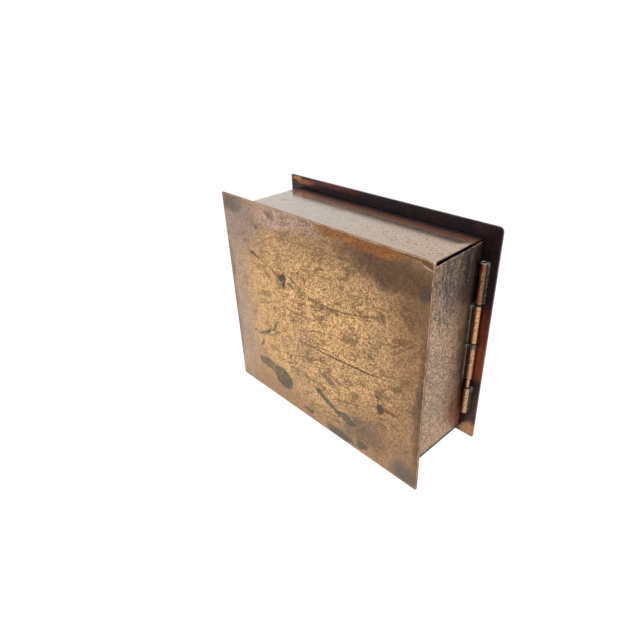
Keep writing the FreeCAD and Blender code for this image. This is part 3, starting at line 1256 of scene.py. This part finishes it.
@dataclass
class Plate:
    """What the two large sheets share: a grid whose corners are rounded before it gets its thickness."""

    node: str
    filed_corner: float
    corner_steps: int
    edge_steps: int
    worn_corner: float = 1.8 * MM
    snipped_corner: float = 0.8 * MM
    sheet: float = 2.0 * MM
    cell: float = 6.0 * MM
    edge_round: float = 0.28 * MM

    def start(self) -> Workpiece:
        """Starts the sheet as a flat grid without thickness.

        Returns:
            The workpiece.
        """
        return Workpiece.sheet(self.node + "_sheet", *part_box(self.node), self.cell)

    def thicken(self, plate: Workpiece) -> None:
        """Rounds the sheet's corners and gives it its thickness.

        Args:
            plate: The sheet, still without thickness.
        """
        low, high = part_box(self.node)
        for across, up, radius in (
            (high.x, high.z, self.filed_corner),
            (high.x, low.z, self.worn_corner),
            (low.x, low.z, self.snipped_corner),
            (low.x, high.z, self.snipped_corner),
        ):
            if radius:
                self.round_corner(plate, across, up, radius)
        plate.modify("SOLIDIFY", thickness=self.sheet, offset=-1.0)

    def round_corner(self, plate: Workpiece, across: float, up: float, radius: float) -> None:
        """Rounds one corner.

        Args:
            plate: The sheet, still without thickness.
            across: The corner's place from left to right.
            up: Its height.
            radius: The radius of the rounding.
        """
        with plate.editing():
            plate.select(Pick.VERTICES, lambda place, _: abs(place.x - across) < NEAR and abs(place.z - up) < NEAR)
            bpy.ops.mesh.bevel(offset=radius, segments=self.corner_steps, affect="VERTICES", clamp_overlap=False)


@dataclass
class FrontPlate(Plate):
    """The large front sheet, slightly wavy, with a corner that was knocked back in two creases."""

    node: str = "front_plate"
    filed_corner: float = 0.0
    corner_steps: int = 5
    edge_steps: int = 3
    waviness: float = 0.22 * MM
    wave_size: float = 95 * MM
    knock_along: float = 14.0 * MM
    knock_down: float = 6.0 * MM
    knock_depth: float = 1.2 * MM
    creases: tuple[tuple[float, float], ...] = ((0.0, 0.4), (0.35, 0.75))

    def build(self) -> None:
        """Makes the sheet and dresses it."""
        low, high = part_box(self.node)
        plate = self.start()
        self.knock_corner(plate, Vector((high.x, low.y, high.z)))
        plate.ripple(-self.waviness, self.wave_size, 0.0)
        self.thicken(plate)
        plate.ease_edges(self.edge_round, self.edge_steps)
        plate.tidy()
        centre, half = middle(self.node)
        plate.fit(FrontCopper(centre, half.x, half.z).make(), "front_copper", Body.BOX, self.node)

    def knock_corner(self, plate: Workpiece, corner: Vector) -> None:
        """Bends the top right corner back along its slanting creases.

        Each crease is given by its share of the way to the corner and its share of the full bend.

        Args:
            plate: The sheet, still without thickness.
            corner: The corner.
        """
        start = corner - RIGHT * self.knock_along
        end = corner - UP * self.knock_down
        crease = (end - start).normalized()
        outward = crease.cross(BACK).normalized()
        if outward.dot(corner - start) < 0:
            outward = -outward
        reach = outward.dot(corner - start)
        lines = [(start + outward * reach * place, bend) for place, bend in self.creases]
        with plate.editing():
            for line, _ in lines:
                bpy.ops.mesh.select_all(action="SELECT")
                bpy.ops.mesh.bisect(plane_co=line, plane_no=outward)
            for line, bend in lines:
                plate.select(Pick.VERTICES, lambda place, _: outward.dot(place - line) > NEAR)
                bpy.ops.transform.rotate(
                    value=math.asin(self.knock_depth / reach) * bend,
                    orient_axis="Z",
                    orient_matrix=(tuple(BACK), tuple(outward), tuple(BACK.cross(outward))),
                    center_override=line,
                )


@dataclass
class WallPlate(Plate):
    """The dark sheet on the wall, with four screw holes behind the box."""

    node: str = "wall_plate"
    filed_corner: float = 4.5 * MM
    corner_steps: int = 7
    edge_steps: int = 2
    hole: float = 5.5 * MM
    hole_across: float = 160 * MM
    hole_up: float = 120 * MM
    hole_sides: int = 32

    def build(self) -> None:
        """Makes the sheet and dresses it."""
        low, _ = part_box(self.node)
        plate = self.start()
        self.thicken(plate)
        for side in (-0.5, 0.5):
            for level in (-0.5, 0.5):
                foot = Vector((side * self.hole_across, low.y - self.sheet, level * self.hole_up))
                plate.cut(Workpiece.rod("drill", foot, BACK, 3 * self.sheet, self.hole / 2, self.hole_sides))
        plate.ease_edges(self.edge_round, self.edge_steps)
        plate.tidy()
        centre, half = middle(self.node)
        plate.fit(DarkCopper(centre, half.x, half.z).make(), "dark_copper", Body.WALL_SIDE, self.node)


@dataclass
class BoxBand:
    """The four walls, bent from one strip that starts and ends at the open seam in the top right corner."""

    node: str = "box_band"
    sheet: float = 1.5 * MM
    bend: float = 2.9 * MM
    bend_steps: int = 8
    seam_front: float = 3.8 * MM
    seam_back: float = 1.4 * MM
    flare: float = 0.6 * MM
    flare_reach: float = 45 * MM
    edge_round: float = 0.22 * MM
    cell: float = 8.0 * MM

    def build(self) -> None:
        """Bends the strip and dresses it."""
        low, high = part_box(self.node)
        band = Workpiece.block(
            self.node + "_strip",
            Vector((low.x + self.bend, low.y, high.z - self.sheet)),
            Vector((high.x, high.y, high.z)),
        )
        with band.editing():
            band.select(Pick.FACES, lambda _, normal: normal.z < 0.9)
            bpy.ops.mesh.delete(type="FACE")
            self.bend_round(band, Vector((low.x + self.bend, 0, high.z - self.bend)))
            self.run_on(Vector((0, 0, low.z + self.bend - (high.z - self.bend))))
            self.bend_round(band, Vector((low.x + self.bend, 0, low.z + self.bend)))
            self.run_on(Vector((high.x - low.x - 2 * self.bend, 0, 0)))
            self.bend_round(band, Vector((high.x - self.bend, 0, low.z + self.bend)))
            end = high.z - self.sheet - self.seam_front
            self.run_on(Vector((0, 0, end - (low.z + self.bend))))
            band.select(Pick.VERTICES, lambda place, _: place.y > high.y - NEAR and abs(place.z - end) < NEAR)
            bpy.ops.transform.translate(value=(0, 0, self.seam_front - self.seam_back))
            self.divide(band, low, high)
            lip = Vector((high.x - NEAR, high.y - NEAR, end - NEAR))
            under_top = high.z - self.sheet
            band.select(
                Pick.VERTICES,
                lambda place, _: place.x > lip.x and place.y > lip.y and lip.z < place.z < under_top,
            )
            bpy.ops.transform.translate(
                value=(self.flare, 0, 0),
                use_proportional_edit=True,
                proportional_edit_falloff="SMOOTH",
                proportional_size=self.flare_reach,
                use_proportional_connected=True,
            )
            bpy.ops.mesh.select_all(action="SELECT")
            bpy.ops.mesh.normals_make_consistent(inside=False)
        self.face_outwards(band)
        band.modify("SOLIDIFY", thickness=self.sheet, offset=-1.0)
        band.ease_edges(self.edge_round, 2)
        band.tidy()
        centre, half = middle(self.node)
        band.fit(BandCopper(centre, half).make(), "band_copper", Body.BOX, self.node)

    def bend_round(self, band: Workpiece, centre: Vector) -> None:
        """Bends the strip's free end a quarter turn, from the end that was made last.

        Args:
            band: The strip.
            centre: The centre of the bend.
        """
        ways = [Vector((0, 0, self.bend)), Vector((-self.bend, 0, 0)), Vector((0, 0, -self.bend))]
        for way in ways:
            start = centre + way
            found = band.select(
                Pick.EDGES,
                lambda a, b: all(abs(p.x - start.x) < NEAR and abs(p.z - start.z) < NEAR for p in (a, b)),
            )
            if found:
                break
        bpy.ops.mesh.spin(steps=self.bend_steps, angle=math.pi / 2, center=centre, axis=tuple(BACK))

    @staticmethod
    def run_on(way: Vector) -> None:
        """Lengthens the strip straight on from its free end.

        Args:
            way: How far and which way.
        """
        bpy.ops.mesh.extrude_region_move(TRANSFORM_OT_translate={"value": tuple(way)})

    def divide(self, band: Workpiece, low: Vector, high: Vector) -> None:
        """Cuts the flat walls into cells, so that they can take a gentle flare.

        Args:
            band: The strip.
            low: The band's lowest corner.
            high: Its highest corner.
        """
        for way in (BACK, UP, RIGHT):
            start = way.dot(low)
            reach = way.dot(high) - start
            steps = round(reach / self.cell)
            for step in range(1, steps):
                bpy.ops.mesh.select_all(action="SELECT")
                bpy.ops.mesh.bisect(plane_co=way * (start + reach * step / steps), plane_no=way)

    @staticmethod
    def face_outwards(band: Workpiece) -> None:
        """Turns the strip's faces outwards, because it is still an open shell without thickness.

        Args:
            band: The strip.
        """
        top = max(band.thing.data.polygons, key=lambda face: face.center.z)
        if top.normal.z < 0:
            with band.editing():
                bpy.ops.mesh.select_all(action="SELECT")
                bpy.ops.mesh.flip_normals()


@dataclass
class Hinge:
    """The tube hinge: four knuckles, the pin through them, and the two strips on the box's wall."""

    wall_knuckles: tuple[str, str] = ("plate_knuckle_top", "plate_knuckle_bottom")
    box_knuckles: tuple[str, str] = ("box_knuckle_upper", "box_knuckle_lower")
    leaves: tuple[str, str] = ("hinge_leaf_upper", "hinge_leaf_lower")
    pin: str = "hinge_pin"
    tight_bore: float = 2.0 * MM
    running_bore: float = 2.06 * MM
    sides: int = 48
    rings: int = 14
    rim_round: float = 0.3 * MM
    foot_taper: float = 0.86
    dent: float = 0.10 * MM
    dent_size: float = 7 * MM
    pin_end: float = 0.55 * MM
    pin_rings: int = 40
    leaf_rings: int = 24
    leaf_strips: int = 4
    leaf_round: float = 0.45 * MM
    leaf_dent: float = 0.22 * MM
    leaf_dent_size: float = 5 * MM
    smooth_below: float = 40.0
    dull_gold: Colour = (0.40, 0.205, 0.115)
    brown_gold: Colour = (0.50, 0.285, 0.165)
    pale_rim: Colour = (0.40, 0.42, 0.37)
    grey_rim: Colour = (0.12, 0.095, 0.075)

    def build(self) -> None:
        """Makes all the hinge's pieces and dresses them."""
        looks = (
            {"gold": self.dull_gold, "redness": 0.85, "head": self.pale_rim, "head_depth": 0.5},
            {"gold": self.brown_gold, "redness": 0.2, "foot_depth": -1.5},
            {"redness": 0.05, "speckle": 0.95},
            {"gold": self.brown_gold, "redness": 0.35, "head": self.grey_rim, "head_depth": 5.2, "shadow_side": 0.9},
        )
        bores = (self.tight_bore,) * 2 + (self.running_bore,) * 2
        for node, bore, look in zip(self.wall_knuckles + self.box_knuckles, bores, looks):
            body = Body.WALL_SIDE if node in self.wall_knuckles else Body.BOX
            centre, half = middle(node)
            tube = self.make_tube(node, centre, half, bore)
            tube.fit(TubeCopper(node + "_copper", centre, half, **look).make(), "hinge_copper", body, node)
        self.make_pin()
        for node in self.leaves:
            self.make_leaf(node)

    def make_tube(self, node: str, centre: Vector, half: Vector, bore: float) -> Workpiece:
        """Makes one knuckle from a rod that is bored, dented and rounded at its ends.

        Args:
            node: The knuckle's name.
            centre: Its centre.
            half: Half its size.
            bore: The radius of its bore.

        Returns:
            The workpiece.
        """
        tube = Workpiece.rod(node + "_tube", centre - UP * half.z, UP, 2 * half.z, half.x, self.sides)
        bottom, top = centre.z - half.z, centre.z + half.z

        def on_rim(first: Vector, second: Vector) -> bool:
            """Says whether an edge runs round the bore or the outside of an end face."""
            at_end = all(min(abs(place.z - bottom), abs(place.z - top)) < NEAR for place in (first, second))
            return at_end and abs(self.reach(first, centre) - self.reach(second, centre)) < NEAR

        with tube.editing():
            tube.select(Pick.FACES, lambda _, normal: abs(normal.z) > 0.9)
            bpy.ops.mesh.inset(thickness=half.x - bore)
            bpy.ops.mesh.bridge_edge_loops()
            tube.select(Pick.EDGES, lambda a, b: abs(a.z - b.z) > half.z)
            bpy.ops.mesh.subdivide(number_cuts=self.rings)
            tube.select(Pick.EDGES, on_rim)
            bpy.ops.mesh.bevel(offset=self.rim_round, segments=3)
            if node == self.wall_knuckles[1]:
                tube.select(Pick.VERTICES, lambda p, _: p.z < bottom + NEAR and self.reach(p, centre) > bore)
                taper = (self.foot_taper, self.foot_taper, 1)
                bpy.ops.transform.resize(value=taper, center_override=centre - UP * half.z)
            tube.select(Pick.VERTICES, lambda place, _: self.reach(place, centre) > 0.9 * half.x)
            outside = tube.thing.vertex_groups.new(name="outside")
            bpy.ops.object.vertex_group_assign()
        tube.ripple(-self.dent, self.dent_size, 0.0, outside.name)
        tube.tidy(self.smooth_below)
        return tube

    @staticmethod
    def reach(place: Vector, centre: Vector) -> float:
        """How far a point is from an upright axis."""
        return math.hypot(place.x - centre.x, place.y - centre.y)

    def make_pin(self) -> None:
        """Makes the pin, rounded at its top and hammered round at its foot."""
        centre, half = middle(self.pin)
        pin = Workpiece.rod(self.pin + "_rod", centre - UP * half.z, UP, 2 * half.z, half.x, self.sides)
        with pin.editing():
            pin.select(Pick.EDGES, lambda a, b: abs(a.z - b.z) < NEAR)
            bpy.ops.mesh.bevel(offset=self.pin_end, segments=5)
            pin.select(Pick.EDGES, lambda a, b: abs(a.z - b.z) > half.z)
            bpy.ops.mesh.subdivide(number_cuts=self.pin_rings)
        pin.tidy(self.smooth_below)
        pin.fit(TubeCopper("pin_copper", centre, half, redness=0.3).make(), "hinge_copper", Body.WALL_SIDE, self.pin)

    def make_leaf(self, node: str) -> None:
        """Makes one strip, with soft and slightly uneven edges.

        Args:
            node: The strip's name.
        """
        low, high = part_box(node)
        leaf = Workpiece.block(node + "_strip", low, high)
        with leaf.editing():
            leaf.select(Pick.EDGES, lambda a, b: abs(a.z - b.z) > NEAR)
            bpy.ops.mesh.subdivide(number_cuts=self.leaf_rings)
            leaf.select(Pick.EDGES, lambda a, b: abs(a.y - b.y) > NEAR)
            bpy.ops.mesh.subdivide(number_cuts=self.leaf_strips)
        leaf.ease_edges(self.leaf_round, 3)
        leaf.ripple(-self.leaf_dent, self.leaf_dent_size, 0.0)
        leaf.tidy(self.smooth_below)
        centre, half = middle(node)
        leaf.fit(LeafCopper(centre, half).make(), "leaf_copper", Body.BOX, node)


@dataclass
class SolderWork:
    """All the solder: the beds under the wall's knuckles, the beads beside the leaves and those inside the box."""

    beds: tuple[tuple[str, str], ...] = (
        ("plate_solder_top", "plate_knuckle_top"),
        ("plate_solder_bottom", "plate_knuckle_bottom"),
    )
    leaf_beads: tuple[tuple[str, str, str], ...] = (
        ("leaf_solder_upper", "box_knuckle_upper", "hinge_leaf_upper"),
        ("leaf_solder_lower", "box_knuckle_lower", "hinge_leaf_lower"),
    )
    seam: str = "front_seam_solder"
    step: float = 1.3 * MM
    lump: float = 0.55 * MM
    lump_size: float = 3.0 * MM
    bed_columns: int = 8
    bed_wrap: float = 0.35 * MM
    bed_smooth: float = 50.0
    core_sides: int = 48
    bead: float = 1.15 * MM
    bead_sides: int = 12
    bead_smooth: float = 60.0
    leaf_bead_share: float = 0.6
    edge_bead_share: float = 0.3
    bead_spread: float = 0.62
    seam_bead: float = 1.5 * MM
    seam_sunk: float = 0.4
    seam_margin: float = 2 * MM
    # painted shade: the dark brown of the beads beside the box knuckles and leaves, which lie in the tube's shade
    brown: Colour = (0.055, 0.040, 0.034)
    dull: Colour = (0.12, 0.105, 0.09)
    bright: Colour = (0.26, 0.245, 0.21)

    def build(self) -> None:
        """Makes all the solder and dresses it."""
        for node, knuckle in self.beds:
            self.make_bed(node, knuckle)
        for node, knuckle, leaf in self.leaf_beads:
            self.make_leaf_beads(node, knuckle, leaf)
        self.make_seam()

    def make_bed(self, node: str, knuckle: str) -> None:
        """Makes the bed between a knuckle and the wall plate: wide at its foot, and lumpy.

        Args:
            node: The bed's name.
            knuckle: The knuckle that lies in it.
        """
        low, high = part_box(node)
        centre, half = middle(knuckle)
        bed = Workpiece.block(node + "_bed", low, high)
        length = high.z - low.z
        with bed.editing():
            bed.select(Pick.EDGES, lambda a, b: abs(a.z - b.z) > NEAR)
            bpy.ops.mesh.subdivide(number_cuts=round(length / self.step))
            bed.select(Pick.EDGES, lambda a, b: abs(a.x - b.x) > NEAR)
            bpy.ops.mesh.subdivide(number_cuts=self.bed_columns)
            bed.select(Pick.VERTICES, lambda place, _: place.y < low.y + NEAR)
            bpy.ops.transform.resize(value=(half.x / (centre.x - low.x), 1, 1), center_override=centre)
        bed.modify("SUBSURF", levels=1, render_levels=1)
        bed.ripple(self.lump, self.lump_size, 0.35)
        foot = centre - UP * half.z * 1.2
        bed.cut(Workpiece.rod("core", foot, UP, 2.4 * half.z, half.x - self.bed_wrap, self.core_sides))
        bed.tidy(self.bed_smooth)
        bed.fit(SolderGrey(node + "_grey", *middle(node)).make(), "solder", Body.WALL_SIDE, node)

    def make_bead(self, name: str, foot: Vector, way: Vector, length: float, radius: float) -> Workpiece:
        """Makes one lumpy bead.

        Args:
            name: Its name.
            foot: The centre of its first end.
            way: The direction that it runs in.
            length: Its length.
            radius: Its radius.

        Returns:
            The workpiece.
        """
        bead = Workpiece.rod(name, foot, way, length, radius, self.bead_sides)
        with bead.editing():
            bead.select(Pick.EDGES, lambda a, b: abs((a - b).dot(way)) > length / 2)
            bpy.ops.mesh.subdivide(number_cuts=round(length / self.step))
        bead.ripple(self.lump * radius / self.bead, self.lump_size, 0.5)
        return bead

    def make_leaf_beads(self, node: str, knuckle: str, leaf: str) -> None:
        """Makes the beads along both sides of a box knuckle and along the leaf's front edge.

        Args:
            node: The beads' name.
            knuckle: The knuckle.
            leaf: The leaf.
        """
        centre, half = middle(knuckle)
        leaf_low, leaf_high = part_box(leaf)
        length = 2 * (half.z - self.lump)
        spread = self.bead_spread * half.x
        places = (
            (leaf_high.x, centre.y - spread, self.leaf_bead_share * self.bead),
            (leaf_high.x, centre.y + spread, self.leaf_bead_share * self.bead),
            (leaf_low.x, leaf_low.y, self.edge_bead_share * self.bead),
        )
        beads = [
            self.make_bead(node + "_beads", Vector((x, y, centre.z - length / 2)), UP, length, radius)
            for x, y, radius in places
        ]
        beads[0].join(beads[1:])
        beads[0].tidy(self.bead_smooth)
        # painted shade: these beads take the dark brown, as they lie in the tube's shade
        finish = SolderGrey(node + "_grey", centre, half, pale=self.brown, collar=0.5)
        beads[0].fit(finish.make(), "solder", Body.BOX, node)

    def make_seam(self) -> None:
        """Makes the beads inside the box, where its walls meet the front plate."""
        low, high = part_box(self.seam)
        sunk = self.seam_sunk * self.seam_bead
        y = low.y + sunk
        width, height = high.x - low.x, high.z - low.z
        margin = self.seam_margin
        runs = (
            (Vector((low.x + margin, y, low.z + sunk)), RIGHT, width - 2 * margin),
            (Vector((low.x + margin, y, high.z - sunk)), RIGHT, width - 2 * margin),
            (Vector((low.x + sunk, y, low.z + margin)), UP, height - 2 * margin),
            (Vector((high.x - sunk, y, low.z + margin)), UP, height - 3 * margin),
        )
        beads = [self.make_bead(self.seam + "_beads", foot, way, length, self.seam_bead) for foot, way, length in runs]
        beads[0].join(beads[1:])
        beads[0].tidy(self.bead_smooth)
        finish = SolderGrey("seam_grey", *middle(self.seam), grey=self.dull, pale=self.bright, collar=0.0)
        beads[0].fit(finish.make(), "solder", Body.BOX, self.seam)


# ---------------------------------------------------------------------------------------------------------------------
# The studio
# ---------------------------------------------------------------------------------------------------------------------


@dataclass(frozen=True)
class Softbox:
    """A square studio light that points at the object."""

    name: str
    place: Point
    size: float
    power: float

    def hang(self, target: Vector) -> None:
        """Puts the light in the scene.

        Args:
            target: The point that it faces.
        """
        data = bpy.data.lights.new(self.name, "AREA")
        data.shape = "SQUARE"
        data.size = self.size
        data.energy = self.power
        lamp = bpy.data.objects.new(self.name, data)
        bpy.context.scene.collection.objects.link(lamp)
        place = Vector(self.place)
        lamp.location = place
        lamp.rotation_euler = (place - target).to_track_quat("Z", "Y").to_euler()


@dataclass
class Studio:
    """A white room with a pale floor, soft light, and the camera."""

    azimuth: float = 48.086
    elevation: float = 30.340
    roll: float = -2.342
    distance: float = 0.4734
    lens_mm: float = 28.811
    sensor_mm: float = 36.0
    aim_across: float = 10.55 * MM
    aim_up: float = 18.58 * MM
    floor_drop: float = 0.42
    floor_size: float = 30.0
    floor_colour: Colour = (0.90, 0.90, 0.89)
    air: Colour = (1.0, 1.0, 1.0)
    air_strength: float = 1.12
    near_end: float = 10 * MM
    softboxes: tuple[Softbox, ...] = (
        Softbox("key_light", (-1.3, -1.5, 1.5), 1.2, 14.0),
        Softbox("side_light", (1.7, -0.5, 0.7), 0.9, 5.0),
    )

    def build(self) -> None:
        """Sets up the floor, the light and the camera."""
        low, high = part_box("front_plate")
        centre = Vector(((low.x + high.x) / 2, low.y, (low.z + high.z) / 2))
        self.lay_floor(low.z - self.floor_drop)
        self.light(centre)
        self.place_camera(centre + RIGHT * self.aim_across + UP * self.aim_up)

    def lay_floor(self, level: float) -> None:
        """Lays the floor.

        Args:
            level: Its height.
        """
        Workpiece.clear()
        bpy.ops.mesh.primitive_plane_add(size=self.floor_size, location=(0, 0, level))
        floor = Workpiece("studio_floor")
        paint = Paint("floor_white", Vector((0, 0, 0)))
        colour = paint.shade(self.floor_colour, paint.cloud(Swells(400)).fade(0.3, 0.7, 0.995, 1.0))
        floor.thing.data.materials.append(paint.finish(colour, 0.9, 0.0))

    def light(self, target: Vector) -> None:
        """Lights the room.

        Args:
            target: The point that the softboxes face.
        """
        scene = bpy.context.scene
        world = bpy.data.worlds.new("studio_air")
        world.use_nodes = True
        background = world.node_tree.nodes["Background"]
        background.inputs["Color"].default_value = (*self.air, 1.0)
        background.inputs["Strength"].default_value = self.air_strength
        scene.world = world
        scene.view_settings.view_transform = "Standard"
        for softbox in self.softboxes:
            softbox.hang(target)

    def place_camera(self, aim: Vector) -> None:
        """Places the camera.

        Args:
            aim: The point at the middle of its view.
        """
        turn, rise = math.radians(self.azimuth), math.radians(self.elevation)
        back = Vector((math.sin(turn) * math.cos(rise), -math.cos(turn) * math.cos(rise), math.sin(rise)))
        data = bpy.data.cameras.new("camera")
        data.lens = self.lens_mm
        data.sensor_width = self.sensor_mm
        data.clip_start = self.near_end
        camera = bpy.data.objects.new("camera", data)
        bpy.context.scene.collection.objects.link(camera)
        facing = Quaternion(back, math.radians(self.roll)) @ back.to_track_quat("Z", "Y")
        camera.matrix_world = Matrix.Translation(aim + back * self.distance) @ facing.to_matrix().to_4x4()
        bpy.context.scene.camera = camera


def main() -> None:
    """Builds the letter box and its studio."""
    logging.basicConfig(level=logging.INFO, format="%(name)s: %(message)s")
    for assembly in (WallPlate(), FrontPlate(), BoxBand(), Hinge(), SolderWork(), Studio()):
        log.info("building %s", type(assembly).__name__)
        assembly.build()


if __name__ == "__main__":
    main()
